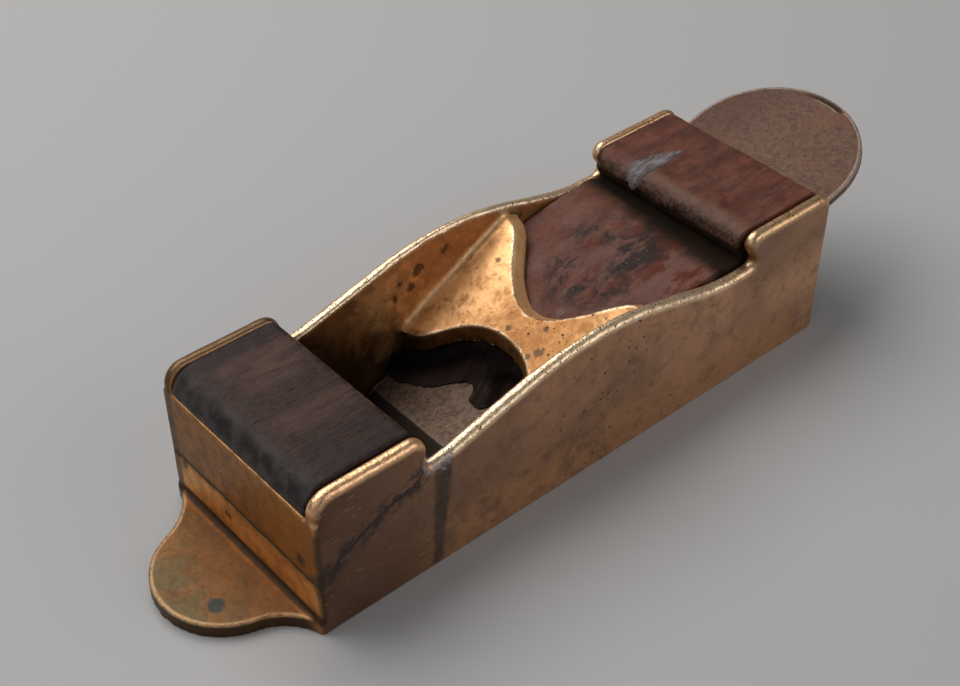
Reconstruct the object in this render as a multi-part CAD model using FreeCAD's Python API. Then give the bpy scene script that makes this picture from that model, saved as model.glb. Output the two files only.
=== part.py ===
import FreeCAD, Part
import math
import os

# Low-angle infill hand plane (bevel-up iron on a low bed, held by a wedge under a cast bridge).
# Millimetres. While it is being drawn, x runs from the outer face of the toe wall to the heel,
# y across the plane and z up from the sole. Every solid is moved to the part frame at the end:
# origin under the middle of the overall box, on the sole.

# ---- body casting -------------------------------------------------------------------------
BODY_LENGTH = 187.0
BODY_WIDTH = 66.0
WALL = 4.1
SOLE = 3.8
TOE_WALL_TOP = 38.3
FRONT_CHEEK_TOP = 46.0
FRONT_CHEEK_END = 36.4
REAR_CHEEK_TOP = 48.5
REAR_CHEEK_START = 151.0
WING_FRONT_LOW = 35.8
WING_TOP = 46.8
WING_PEAK_X = 92.9
WING_REAR_LOW = 37.8
OUTER_ROUND = 2.4
INNER_ROUND = 1.4
GROOVE_HEIGHT = 17.1
GROOVE_WIDTH = 1.2
TONGUE_REACH = 27.0
TONGUE_RADIUS = 20.6
TONGUE_THICK = 4.3
TONGUE_OFF_CENTRE = -1.2

# ---- bed and iron -------------------------------------------------------------------------
BED_ANGLE = 16.2
EDGE_X = 58.8
EDGE_HEIGHT = 0.1
IRON_THICK = 3.3
IRON_WIDTH = 57.1
IRON_LENGTH = 171.9
IRON_BEVEL = 31.0
MOUTH_GAP = 2.4
BED_NOSE = 1.0
BED_BLOCK_END = 92.0

# ---- bridge -------------------------------------------------------------------------------
BRIDGE_ANGLE = 28.5
BRIDGE_FRONT = 75.3
BRIDGE_REAR = 114.6
BRIDGE_FRONT_WAIST = 88.8
BRIDGE_REAR_WAIST = 97.0
BRIDGE_TOP_AT_FRONT = 20.1
BRIDGE_THICK = 5.8
BRIDGE_LIP = 5.4
BRIDGE_BEVEL_RUN = 6.4
BRIDGE_BEVEL_DROP = 3.2

# ---- wooden parts -------------------------------------------------------------------------
SIDE_GAP = 0.3
SLIDE_GAP = 0.08
TOE_INFILL_END = 33.4
TOE_INFILL_TOP = 46.2
TOE_INFILL_ROUND = 7.6
TOE_INFILL_FOOT = 52.0
TOE_INFILL_BREAK = 34.0
HEAD_START = 150.0
HEAD_END = 185.2
HEAD_TOP = 48.9
WEDGE_FRONT = 60.0
WEDGE_BEND = 119.5
WEDGE_TOP = 40.6
WEDGE_LEAN = 0.8

# ---- screws that hold the two infills, from under the sole ----------------------------------
SCREW_HEAD_RADIUS = 4.2
SCREW_SHANK_RADIUS = 2.2
SCREW_HEAD_DEPTH = 2.4
SCREW_RECESS = 0.15
SCREW_SLOT_WIDTH = 0.9
SCREW_SLOT_DEPTH = 0.8
TOE_SCREWS = [(17.0, -15.0), (17.0, 15.0)]
TOE_SCREW_LENGTH = 22.0
BED_SCREWS = [(128.0, 0.0), (168.0, -15.0), (168.0, 15.0)]
BED_SCREW_LENGTH = 14.0

INNER = BODY_WIDTH / 2 - WALL
HALF = BODY_WIDTH / 2
BED = math.radians(BED_ANGLE)
BRIDGE_SLOPE = math.tan(math.radians(BRIDGE_ANGLE))
IRON_END_X = EDGE_X + IRON_LENGTH * math.cos(BED)
CENTRE_X = (IRON_END_X - TONGUE_REACH) / 2


def point(x, y, z):
    return FreeCAD.Vector(x, y, z)


def on_bed(along, across, above):
    """A point by its distance along the bed from the cutting edge, across it and above it."""
    x = EDGE_X + along * math.cos(BED) - above * math.sin(BED)
    z = EDGE_HEIGHT + along * math.sin(BED) + above * math.cos(BED)
    return point(x, across, z)


def bed_height(x, above):
    """Height of the plane that lies `above` the iron's underside, at x."""
    return EDGE_HEIGHT + (x - EDGE_X) * math.tan(BED) + above / math.cos(BED)


def line(start, end):
    return Part.makeLine(start, end)


def arc(start, middle, end):
    return Part.Arc(start, middle, end).toShape()


def curve(points):
    """A smooth curve through the points."""
    spline = Part.BSplineCurve()
    spline.interpolate(points)
    return spline.toShape()


def prism(edges, travel):
    """The solid swept by a closed flat outline along one straight travel."""
    return Part.Face(Part.Wire(edges)).extrude(travel)


def polygon(points):
    """Closed outline of straight edges."""
    return [line(a, b) for a, b in zip(points, points[1:] + points[:1])]


def rounded(corners, y):
    """Closed x-z outline at one y. A corner is x and z, and the radius it is rounded to if any."""
    places = [point(corner[0], y, corner[1]) for corner in corners]
    radii = [corner[2] if len(corner) > 2 else 0.0 for corner in corners]
    middles = []
    ends = []
    for index, place in enumerate(places):
        back = (places[index - 1] - place).normalize()
        onward = (places[(index + 1) % len(places)] - place).normalize()
        half_angle = back.getAngle(onward) / 2
        run = radii[index] / math.tan(half_angle)
        ends.append((place + back * run, place + onward * run))
        inward = (back + onward).normalize()
        middles.append(place + inward * (radii[index] / math.sin(half_angle) - radii[index]))
    edges = []
    for index, (first, last) in enumerate(ends):
        if radii[index] > 0:
            edges.append(arc(first, middles[index], last))
        edges.append(line(last, ends[(index + 1) % len(ends)][0]))
    return edges


def profile(corners, half_width):
    """Solid of an x-z outline, centred across the plane."""
    return prism(rounded(corners, -half_width), point(0, 2 * half_width, 0))


def block(x_low, x_high, y_low, y_high, z_low, z_high):
    """A rectangular solid between two limits each way."""
    size = (x_high - x_low, y_high - y_low, z_high - z_low)
    return Part.makeBox(*size, point(x_low, y_low, z_low))


def mirrored(shape):
    return shape.mirror(point(0, 0, 0), point(0, 1, 0))


def wall_outline(y):
    """Side view of one side wall: front cheek, hollow, swelling wing, hollow, rear cheek."""
    return rounded([(0, 0),
                    (0, FRONT_CHEEK_TOP, 6.0),
                    (FRONT_CHEEK_END + 2.7, FRONT_CHEEK_TOP, 5.0),
                    (FRONT_CHEEK_END - 3.4, WING_FRONT_LOW - 0.6, 1.8),
                    (41.0, WING_FRONT_LOW, 35.0),
                    (WING_PEAK_X, WING_TOP + 3.2, 94.0),
                    (140.9, WING_REAR_LOW, 50.0),
                    (REAR_CHEEK_START + 5.2, WING_REAR_LOW + 0.1, 2.0),
                    (REAR_CHEEK_START - 2.3, REAR_CHEEK_TOP, 3.6),
                    (BODY_LENGTH, REAR_CHEEK_TOP, 4.5),
                    (BODY_LENGTH, 0)], y)


def rim_edges(shape, y):
    """The edges of a wall's rim that lie at one y."""
    return [edge for edge in shape.Edges
            if abs(edge.BoundBox.YMin - y) < 1e-6 and abs(edge.BoundBox.YMax - y) < 1e-6
            and edge.BoundBox.ZMin > WING_FRONT_LOW - 3]


def side_wall():
    """The far side wall, with the rounded rim that runs along its whole top."""
    wall = prism(wall_outline(INNER), point(0, WALL, 0))
    wall = wall.makeFillet(OUTER_ROUND, rim_edges(wall, HALF))
    return wall.makeFillet(INNER_ROUND, rim_edges(wall, INNER))


def round_heel_corners(shape):
    """Round the two upright outer corners at the heel, as the side walls are."""
    corners = [edge for edge in shape.Edges
               if edge.BoundBox.XMin > BODY_LENGTH - 1e-6 and edge.BoundBox.YLength < 1e-6
               and abs(abs(edge.BoundBox.YMin) - HALF) < 1e-6]
    return shape.makeFillet(OUTER_ROUND, corners)


def sole_plate():
    """Sole with the bed block behind the mouth and the mouth itself."""
    blunt_x = EDGE_X + (BED_NOSE - EDGE_HEIGHT) / math.tan(BED)
    mouth_front = EDGE_X - MOUTH_GAP
    plate = round_heel_corners(block(0, BODY_LENGTH, -HALF, HALF, 0, SOLE))
    bed_block = profile([(blunt_x, 0), (blunt_x, BED_NOSE), (BED_BLOCK_END, bed_height(BED_BLOCK_END, 0)),
                         (BED_BLOCK_END, 0)], INNER + 0.5)
    slot_width = IRON_WIDTH / 2 + SIDE_GAP
    throat = profile([(mouth_front, -1), (mouth_front, 1.2), (mouth_front - 3.0, SOLE + 1),
                      (blunt_x + 30, SOLE + 1), (blunt_x + 30, bed_height(blunt_x + 30, 0)),
                      (blunt_x, BED_NOSE), (blunt_x, -1)], slot_width)
    return plate.fuse(bed_block).cut(throat)


def toe_wall():
    """Upright wall at the toe, and the waste of the scored line across its face."""
    wall = block(0, WALL, -HALF, HALF, 0, TOE_WALL_TOP)
    depth = GROOVE_WIDTH / 2
    groove = profile([(-0.1, GROOVE_HEIGHT - depth), (depth, GROOVE_HEIGHT), (-0.1, GROOVE_HEIGHT + depth)],
                     HALF + 1)
    return wall, groove


def heel_wall():
    """Upright wall at the heel: its top follows the bed between the side walls."""
    inside = BODY_LENGTH - WALL
    corners = round_heel_corners(block(inside, BODY_LENGTH, -HALF, HALF, 0, TOE_WALL_TOP))
    over_bed = profile([(inside - 1, bed_height(inside - 1, 0)), (inside - 1, HEAD_TOP),
                        (BODY_LENGTH + 1, HEAD_TOP), (BODY_LENGTH + 1, bed_height(BODY_LENGTH + 1, 0))],
                       INNER)
    return corners.cut(over_bed)


def tongue():
    """Round lobe on the toe, joined to the corners of the body by hollow curves."""
    centre_x = TONGUE_RADIUS - TONGUE_REACH
    meet_x = -12.5
    meet_y = math.sqrt(TONGUE_RADIUS ** 2 - (meet_x - centre_x) ** 2)
    back = 2.0
    near = [point(-0.3, HALF - 0.05, 0),
            point(-4.8, 24.5 + TONGUE_OFF_CENTRE / 2, 0),
            point(meet_x, meet_y + TONGUE_OFF_CENTRE, 0)]
    far = [point(meet_x, TONGUE_OFF_CENTRE - meet_y, 0),
           point(-4.8, TONGUE_OFF_CENTRE / 2 - 24.5, 0),
           point(-0.3, 0.05 - HALF, 0)]
    back_near = point(back, near[0].y, 0)
    back_far = point(back, far[2].y, 0)
    outline = [arc(near[0], near[1], near[2]),
               arc(near[2], point(-TONGUE_REACH, TONGUE_OFF_CENTRE, 0), far[0]),
               arc(far[0], far[1], far[2]),
               line(far[2], back_far),
               line(back_far, back_near),
               line(back_near, near[0])]
    lobe = prism(outline, point(0, 0, TONGUE_THICK))
    rim = [edge for edge in lobe.Edges
           if edge.BoundBox.ZMin > TONGUE_THICK - 0.01 and edge.BoundBox.XMin < -0.5]
    return lobe.makeFillet(0.5, rim)


def bridge():
    """Cast bar across the body that the wedge tightens against: wide at the walls, waisted between.

    Its top rises to a crest that is hollow in plan, and a bevel falls from the crest to a thin lip.
    """
    def top(x):
        return BRIDGE_TOP_AT_FRONT + (x - BRIDGE_FRONT) * BRIDGE_SLOPE

    def mirrored_plan(half, waist):
        return half + [(waist, 0)] + [(x, -y) for x, y in reversed(half)]

    reach = INNER + 0.5
    drop = BRIDGE_THICK / math.cos(math.radians(BRIDGE_ANGLE))
    low_x = BRIDGE_FRONT - 2
    high_x = BRIDGE_REAR + BRIDGE_LIP + 2
    slab = profile([(low_x, top(low_x)), (high_x, top(high_x)), (high_x, top(high_x) - drop),
                    (low_x, top(low_x) - drop)], reach)
    front = mirrored_plan([(BRIDGE_FRONT, reach), (76.5, 22.0), (81.5, 16.8), (86.3, 11.0)],
                          BRIDGE_FRONT_WAIST)
    crest = mirrored_plan([(BRIDGE_REAR, reach), (113.2, 23.5), (107.0, 16.6), (100.4, 9.0)],
                          BRIDGE_REAR_WAIST)
    front_points = [point(x, y, 0) for x, y in front]
    lip_points = [point(x + BRIDGE_LIP, y, 0) for x, y in crest]
    outline = [curve(front_points),
               line(front_points[-1], lip_points[-1]),
               curve(lip_points),
               line(lip_points[0], front_points[0])]
    crest_points = [point(x, y, top(x)) for x, y in crest]
    beyond = [point(high_x + 5, y, top(high_x + 5)) for y in (-reach, reach)]
    bevel_waste = prism([curve(crest_points),
                         line(crest_points[-1], beyond[0]),
                         line(beyond[0], beyond[1]),
                         line(beyond[1], crest_points[0])],
                        point(BRIDGE_BEVEL_RUN, 0, -BRIDGE_BEVEL_DROP))
    return slab.common(prism(outline, point(0, 0, 60))).cut(bevel_waste)


def screw(x, y, length):
    """Slotted countersunk wood screw, head down, a hair inside the sole."""
    head = Part.makeCone(SCREW_HEAD_RADIUS, SCREW_SHANK_RADIUS, SCREW_HEAD_DEPTH, point(x, y, SCREW_RECESS))
    shank_length = length - 3.0 - SCREW_HEAD_DEPTH
    shank_start = SCREW_RECESS + SCREW_HEAD_DEPTH
    shank = Part.makeCylinder(SCREW_SHANK_RADIUS, shank_length, point(x, y, shank_start))
    tip = Part.makeCone(SCREW_SHANK_RADIUS, 0.3, 3.0, point(x, y, shank_start + shank_length))
    return head.fuse([shank, tip]).removeSplitter()


def slotted(x, y, length):
    """A screw with its driving slot cut."""
    slot = block(x - 5, x + 5, y - SCREW_SLOT_WIDTH / 2, y + SCREW_SLOT_WIDTH / 2, 0,
                 SCREW_RECESS + SCREW_SLOT_DEPTH)
    return screw(x, y, length).cut(slot)


def screw_set(places, length):
    return Part.makeCompound([slotted(x, y, length) for x, y in places])


def drill(shape, places, length):
    """Take the screws' own shape out of a piece, and open the countersink to the sole."""
    for x, y in places:
        recess = Part.makeCylinder(SCREW_HEAD_RADIUS, SCREW_RECESS + 1, point(x, y, -1))
        shape = shape.cut(screw(x, y, length)).cut(recess)
    return shape


def body_casting():
    wall = side_wall()
    toe, groove = toe_wall()
    shape = sole_plate().fuse([wall, mirrored(wall), toe, heel_wall(), tongue(), bridge()])
    shape = shape.cut(groove).removeSplitter()
    shape = drill(shape, TOE_SCREWS, TOE_SCREW_LENGTH)
    return drill(shape, BED_SCREWS, BED_SCREW_LENGTH)


def toe_infill():
    """Front block: fills the toe box and laps over the toe wall, with a rounded front."""
    front = 0.2
    lap = WALL + 0.1
    shape = profile([(front, TOE_WALL_TOP + 0.05),
                     (front, TOE_INFILL_TOP, TOE_INFILL_ROUND),
                     (TOE_INFILL_END, TOE_INFILL_TOP, 1.6),
                     (TOE_INFILL_END, TOE_INFILL_BREAK),
                     (TOE_INFILL_FOOT, SOLE),
                     (lap, SOLE),
                     (lap, TOE_WALL_TOP + 0.05)], INNER - SIDE_GAP)
    return drill(shape, TOE_SCREWS, TOE_SCREW_LENGTH)


def bed_infill():
    """Rear block under the iron, its top in line with the cast bed."""
    start = BED_BLOCK_END + 0.1
    end = BODY_LENGTH - WALL - 0.1
    below = -SLIDE_GAP
    shape = profile([(start, SOLE), (end, SOLE), (end, bed_height(end, below)),
                     (start, bed_height(start, below))], INNER - 0.1)
    return drill(shape, BED_SCREWS, BED_SCREW_LENGTH)


def iron():
    """Flat iron with a round end, bevel up."""
    half = IRON_WIDTH / 2
    middle = IRON_LENGTH - half
    low = SLIDE_GAP
    outline = [line(on_bed(0, -half, low), on_bed(middle, -half, low)),
               arc(on_bed(middle, -half, low), on_bed(IRON_LENGTH, 0, low), on_bed(middle, half, low)),
               line(on_bed(middle, half, low), on_bed(0, half, low)),
               line(on_bed(0, half, low), on_bed(0, -half, low))]
    up = on_bed(0, 0, IRON_THICK - low) - on_bed(0, 0, 0)
    plate = prism(outline, up)
    bevel_run = (IRON_THICK - low) / math.tan(math.radians(IRON_BEVEL))
    over = 1.0
    waste = [on_bed(-over, -half - 1, low - over * math.tan(math.radians(IRON_BEVEL))),
             on_bed(bevel_run + over, -half - 1, IRON_THICK + over * math.tan(math.radians(IRON_BEVEL))),
             on_bed(-over, -half - 1, IRON_THICK + over)]
    return plate.cut(prism(polygon(waste), point(0, IRON_WIDTH + 2, 0)))


def wedge():
    """Wedge and rear head in one piece of wood, tight under the bridge."""
    bridge_depth = BRIDGE_THICK / math.cos(math.radians(BRIDGE_ANGLE))
    under_bridge = BRIDGE_TOP_AT_FRONT - bridge_depth - 1.5 * SLIDE_GAP

    def floor(x):
        return bed_height(x, IRON_THICK + SLIDE_GAP)

    def slope(x):
        return under_bridge + (x - BRIDGE_FRONT) * BRIDGE_SLOPE

    body = profile([(WEDGE_FRONT, floor(WEDGE_FRONT)),
                    (WEDGE_FRONT, slope(WEDGE_FRONT)),
                    (WEDGE_BEND, slope(WEDGE_BEND), 90.0),
                    (HEAD_START + 4.5, WEDGE_TOP, 0.9),
                    (HEAD_START, WEDGE_TOP + 2.2, 1.5),
                    (HEAD_START, HEAD_TOP, 4.8),
                    (HEAD_END, HEAD_TOP, 3.5),
                    (HEAD_END, floor(HEAD_END))], INNER - SIDE_GAP)
    return body.cut(wedge_front())


def wedge_front():
    """Waste in front of the wedge's end, which is cut as a double scoop with a middle cusp."""
    reach = INNER + 1
    half_curve = [(67.9, reach), (70.3, 18.5), (74.8, 12.4), (79.5, 8.6), (80.1, 6.2), (77.4, 3.6)]
    path = half_curve + [(76.2, 0)] + [(x, -y) for x, y in reversed(half_curve)]
    points = [point(x, y, bed_height(x, IRON_THICK)) for x, y in path]
    ahead = [point(x, y, bed_height(x, IRON_THICK)) for x, y in ((40.0, -reach), (40.0, reach))]
    outline = [curve(points),
               line(points[-1], ahead[0]),
               line(ahead[0], ahead[1]),
               line(ahead[1], points[0])]
    rise = 30.0
    return prism(outline, point(WEDGE_LEAN * rise, 0, rise))


def save(name, shape):
    """Move a finished shape to the part frame and write it."""
    placed = shape.copy()
    placed.translate(point(-CENTRE_X, 0, 0))
    if not placed.isValid():
        raise RuntimeError(name + " isn't a valid shape")
    placed.exportStep("parts/" + name + ".step")
    box = placed.BoundBox
    print(name, "solids", len(placed.Solids), "volume", round(placed.Volume, 1),
          "x", round(box.XMin, 2), round(box.XMax, 2), "z", round(box.ZMin, 2), round(box.ZMax, 2))


os.makedirs("parts", exist_ok=True)
save("body_casting", body_casting())
save("toe_infill", toe_infill())
save("bed_infill", bed_infill())
save("toe_infill_screws", screw_set(TOE_SCREWS, TOE_SCREW_LENGTH))
save("bed_infill_screws", screw_set(BED_SCREWS, BED_SCREW_LENGTH))
save("iron", iron())
save("wedge", wedge())
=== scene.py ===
"""Looks of the infill hand plane: worn gunmetal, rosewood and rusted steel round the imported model."""
import math

import bpy
import numpy as np
from mathutils import Matrix, Vector, noise


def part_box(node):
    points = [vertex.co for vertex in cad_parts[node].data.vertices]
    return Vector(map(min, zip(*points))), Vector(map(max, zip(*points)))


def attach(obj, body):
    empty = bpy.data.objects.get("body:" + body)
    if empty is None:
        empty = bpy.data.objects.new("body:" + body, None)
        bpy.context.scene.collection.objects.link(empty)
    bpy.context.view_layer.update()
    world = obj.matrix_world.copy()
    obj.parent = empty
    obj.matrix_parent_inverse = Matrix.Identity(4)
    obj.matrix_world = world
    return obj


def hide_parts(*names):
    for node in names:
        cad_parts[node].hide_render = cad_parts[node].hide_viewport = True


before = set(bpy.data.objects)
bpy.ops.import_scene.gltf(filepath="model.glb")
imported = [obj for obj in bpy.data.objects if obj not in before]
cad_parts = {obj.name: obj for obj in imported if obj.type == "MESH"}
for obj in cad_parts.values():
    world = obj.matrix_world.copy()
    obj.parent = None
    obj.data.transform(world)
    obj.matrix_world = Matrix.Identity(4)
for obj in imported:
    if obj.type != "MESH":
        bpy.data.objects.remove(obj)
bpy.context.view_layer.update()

# Lengths are millimetres from the toe wall's outer face (x), from the middle plane (y) and from
# the sole (z). MM turns them into metres.
MM = 0.001
TONGUE_REACH = 27.0
TOE_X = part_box("body_casting")[0][0] + TONGUE_REACH * MM
HALF_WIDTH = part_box("body_casting")[1][1] / MM
WALL = 4.1
INNER = HALF_WIDTH - WALL
CHEEK_END = 38.0
GROOVE_HEIGHT = 17.1

BED_ANGLE = math.radians(16.2)
EDGE_X = 58.8
EDGE_Z = 0.1
IRON_THICK = 3.3
IRON_RADIUS = 28.55

BRIDGE_SLOPE = math.tan(math.radians(28.5))
BRIDGE_FRONT = 75.3
BRIDGE_TOP = 20.1
BRIDGE_UNDERSIDE = 13.5


# ---- mesh helpers --------------------------------------------------------------------------

def link(name, mesh):
    piece = bpy.data.objects.new(name, mesh)
    bpy.context.scene.collection.objects.link(piece)
    return piece


def positions(mesh):
    flat = np.empty(len(mesh.vertices) * 3)
    mesh.vertices.foreach_get("co", flat)
    return flat.reshape(-1, 3)


def normals(mesh):
    flat = np.empty(len(mesh.vertices) * 3)
    mesh.vertex_normals.foreach_get("vector", flat)
    return flat.reshape(-1, 3)


def move_to(mesh, places):
    mesh.vertices.foreach_set("co", places.ravel())
    mesh.update()


def remeshed(name, sources, voxel):
    """One even closed skin round the source meshes, as a new object."""
    mesh = bpy.data.meshes.new(name)
    points, faces = [], []
    for source_points, source_faces in sources:
        faces += [[index + len(points) for index in face] for face in source_faces]
        points += list(source_points)
    mesh.from_pydata(points, [], faces)
    rough = link(name + "_rough", mesh)
    modifier = rough.modifiers.new("voxels", "REMESH")
    modifier.mode = "VOXEL"
    modifier.voxel_size = voxel
    modifier.use_smooth_shade = True
    graph = bpy.context.evaluated_depsgraph_get()
    skin = bpy.data.meshes.new_from_object(rough.evaluated_get(graph))
    skin.name = name
    bpy.data.objects.remove(rough)
    return link(name, skin)


def cad_shape(node):
    """Points and faces of a CAD node."""
    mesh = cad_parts[node].data
    return [tuple(vertex.co) for vertex in mesh.vertices], [tuple(face.vertices) for face in mesh.polygons]


def prism(triangle, travel):
    """Points and faces of a short bar with a three-sided section."""
    travel = Vector(travel)
    start = [Vector(corner) for corner in triangle]
    points = [tuple(corner) for corner in start] + [tuple(corner + travel) for corner in start]
    faces = [(2, 1, 0), (3, 4, 5), (0, 1, 4, 3), (1, 2, 5, 4), (2, 0, 3, 5)]
    return points, faces


def neighbour_means(mesh):
    """A function that gives, for values on the vertices, the mean over each vertex's neighbours."""
    ends = np.empty(len(mesh.edges) * 2, dtype=np.int64)
    mesh.edges.foreach_get("vertices", ends)
    ends = ends.reshape(-1, 2)
    count = len(mesh.vertices)
    left = np.concatenate([ends[:, 0], ends[:, 1]])
    right = np.concatenate([ends[:, 1], ends[:, 0]])
    degree = np.maximum(np.bincount(left, minlength=count), 1)

    def means(values):
        if values.ndim == 1:
            return np.bincount(left, weights=values[right], minlength=count) / degree
        return np.stack([np.bincount(left, weights=values[right, axis], minlength=count) / degree
                         for axis in range(values.shape[1])], axis=1)

    return means


def relax(piece, rounds, weight=0.5):
    """Softens edges: every vertex moves part of the way to the mean of its neighbours."""
    means = neighbour_means(piece.data)
    places = positions(piece.data)
    share = weight if np.isscalar(weight) else weight[:, None]
    for _ in range(rounds):
        places += share * (means(places) - places)
    move_to(piece.data, places)


def smoothstep(low, high, values):
    t = np.clip((values - low) / (high - low), 0.0, 1.0)
    return t * t * (3.0 - 2.0 * t)


def roughen(piece, depth, size, seed, mask=None, octaves=3):
    """Sinks the skin by smooth noise, at most `depth`, so that it never grows."""
    places = positions(piece.data)
    outward = normals(piece.data)
    shift = Vector((seed * 3.1, seed * 1.7, seed * 2.3))
    lift = np.array([noise.fractal(Vector(place) / size + shift, 0.9, 2.0, octaves) for place in places])
    amount = depth * (np.clip(lift, -1.0, 1.0) - 1.0) / 2.0
    if mask is not None:
        amount = amount * mask
    move_to(piece.data, places + outward * amount[:, None])


def mark_edges(piece, reach):
    """Stores how far each vertex stands proud of its surroundings: +1 on a rim, -1 in a corner."""
    means = neighbour_means(piece.data)
    places = positions(piece.data)
    outward = normals(piece.data)
    wide = places.copy()
    for _ in range(reach):
        wide = means(wide)
    proud = np.einsum("ij,ij->i", places - wide, outward)
    for _ in range(2):
        proud = means(proud)
    level = np.percentile(np.abs(proud), 97)
    store(piece, "edge", np.clip(proud / level, -1.0, 1.0))


def store(piece, name, values):
    attribute = piece.data.attributes.new(name, "FLOAT", "POINT")
    attribute.data.foreach_set("value", np.asarray(values, dtype=np.float32))


# ---- shader helpers ------------------------------------------------------------------------

class Shader:
    """A material under construction. Positions inside it are millimetres from the toe wall."""

    def __init__(self, name):
        self.material = bpy.data.materials.new(name)
        self.material.use_nodes = True
        self.tree = self.material.node_tree
        self.surface = self.tree.nodes["Principled BSDF"]
        coordinates = self.node("ShaderNodeTexCoord")
        self.normal = coordinates.outputs["Normal"]
        mapping = self.node("ShaderNodeMapping")
        mapping.inputs["Scale"].default_value = (1 / MM,) * 3
        mapping.inputs["Location"].default_value = (-TOE_X / MM, 0.0, 0.0)
        self.join(coordinates.outputs["Object"], mapping.inputs["Vector"])
        self.place = mapping.outputs["Vector"]
        self.x, self.y, self.z = self.split(self.place)

    def node(self, kind):
        return self.tree.nodes.new(kind)

    def join(self, source, target):
        if isinstance(source, bpy.types.NodeSocket):
            self.tree.links.new(source, target)
        else:
            target.default_value = source

    def split(self, vector):
        separate = self.node("ShaderNodeSeparateXYZ")
        self.join(vector, separate.inputs[0])
        return separate.outputs

    def math(self, operation, first, second=0.0, clamp=False):
        step = self.node("ShaderNodeMath")
        step.operation = operation
        step.use_clamp = clamp
        self.join(first, step.inputs[0])
        self.join(second, step.inputs[1])
        return step.outputs[0]

    def times(self, first, *others):
        """The product of two or more values."""
        for other in others:
            first = self.math("MULTIPLY", first, other)
        return first

    def most(self, first, *others):
        """The greatest of two or more values."""
        for other in others:
            first = self.math("MAXIMUM", first, other)
        return first

    def least(self, first, second):
        return self.math("MINIMUM", first, second)

    def plus(self, first, second, clamp=False):
        return self.math("ADD", first, second, clamp)

    def minus(self, first, second):
        return self.math("SUBTRACT", first, second)

    def absolute(self, value):
        return self.math("ABSOLUTE", value)

    def span(self, value, low, high, start=0.0, end=1.0):
        """Goes smoothly from `start` to `end` while the value goes from `low` to `high`."""
        step = self.node("ShaderNodeMapRange")
        step.interpolation_type = "SMOOTHSTEP"
        self.join(value, step.inputs["Value"])
        for name, number in (("From Min", low), ("From Max", high), ("To Min", start), ("To Max", end)):
            self.join(number, step.inputs[name])
        return step.outputs["Result"]

    def mix(self, factor, first, second):
        """Goes from the first colour to the second."""
        step = self.node("ShaderNodeMix")
        step.data_type = "RGBA"
        self.join(factor, step.inputs["Factor"])
        for socket, value in ((step.inputs[6], first), (step.inputs[7], second)):
            self.join(value if isinstance(value, bpy.types.NodeSocket) else (*value, 1.0), socket)
        return step.outputs[2]

    def blend(self, factor, first, second):
        """Goes from the first number to the second."""
        step = self.node("ShaderNodeMix")
        step.data_type = "FLOAT"
        self.join(factor, step.inputs["Factor"])
        self.join(first, step.inputs[2])
        self.join(second, step.inputs[3])
        return step.outputs[0]

    def stretched(self, scale, turn=(0.0, 0.0, 0.0)):
        """Positions scaled and turned, which draws a texture out along an axis."""
        mapping = self.node("ShaderNodeMapping")
        mapping.inputs["Scale"].default_value = scale
        mapping.inputs["Rotation"].default_value = turn
        self.join(self.place, mapping.inputs["Vector"])
        return mapping.outputs["Vector"]

    def noise(self, size, detail=4.0, roughness=0.55, distortion=0.0, place=None):
        """Smooth noise whose blotches are about `size` millimetres."""
        step = self.node("ShaderNodeTexNoise")
        self.join(self.place if place is None else place, step.inputs["Vector"])
        step.inputs["Scale"].default_value = 1.0 / size
        step.inputs["Detail"].default_value = detail
        step.inputs["Roughness"].default_value = roughness
        step.inputs["Distortion"].default_value = distortion
        return step.outputs["Fac"]

    def cells(self, size):
        """Distance from the nearest of many scattered dots, about `size` millimetres apart."""
        step = self.node("ShaderNodeTexVoronoi")
        self.join(self.place, step.inputs["Vector"])
        step.inputs["Scale"].default_value = 1.0 / size
        return step.outputs["Distance"]

    def attribute(self, name):
        """A value stored on the vertices."""
        step = self.node("ShaderNodeAttribute")
        step.attribute_name = name
        return step.outputs["Fac"]

    def near(self, centre, radii, wobble=None):
        """1 at a centre, falling to 0 at the radii of an ellipsoid round it."""
        shift = self.node("ShaderNodeVectorMath")
        shift.operation = "SUBTRACT"
        self.join(self.place, shift.inputs[0])
        shift.inputs[1].default_value = centre
        scale = self.node("ShaderNodeVectorMath")
        scale.operation = "DIVIDE"
        self.join(shift.outputs[0], scale.inputs[0])
        scale.inputs[1].default_value = radii
        length = self.node("ShaderNodeVectorMath")
        length.operation = "LENGTH"
        self.join(scale.outputs[0], length.inputs[0])
        distance = length.outputs["Value"]
        if wobble is not None:
            distance = self.plus(distance, wobble)
        return self.span(distance, 1.0, 0.5)

    def distance_to_segment(self, start, end):
        """Distance in millimetres from a straight line between two places."""
        start, end = Vector(start), Vector(end)
        along = end - start
        shift = self.node("ShaderNodeVectorMath")
        shift.operation = "SUBTRACT"
        self.join(self.place, shift.inputs[0])
        shift.inputs[1].default_value = start
        dot = self.node("ShaderNodeVectorMath")
        dot.operation = "DOT_PRODUCT"
        self.join(shift.outputs[0], dot.inputs[0])
        dot.inputs[1].default_value = along / along.length_squared
        share = self.math("MULTIPLY", dot.outputs["Value"], 1.0, clamp=True)
        scaled = self.node("ShaderNodeVectorMath")
        scaled.operation = "SCALE"
        scaled.inputs[0].default_value = along
        self.join(share, scaled.inputs["Scale"])
        rest = self.node("ShaderNodeVectorMath")
        rest.operation = "DISTANCE"
        self.join(shift.outputs[0], rest.inputs[0])
        self.join(scaled.outputs[0], rest.inputs[1])
        return rest.outputs["Value"]

    def bump(self, height, distance, strength=1.0, under=None):
        """`distance` is the height in millimetres of the full bump."""
        step = self.node("ShaderNodeBump")
        step.inputs["Distance"].default_value = distance * MM
        step.inputs["Strength"].default_value = strength
        self.join(height, step.inputs["Height"])
        if under is not None:
            self.join(under, step.inputs["Normal"])
        return step.outputs["Normal"]

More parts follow.
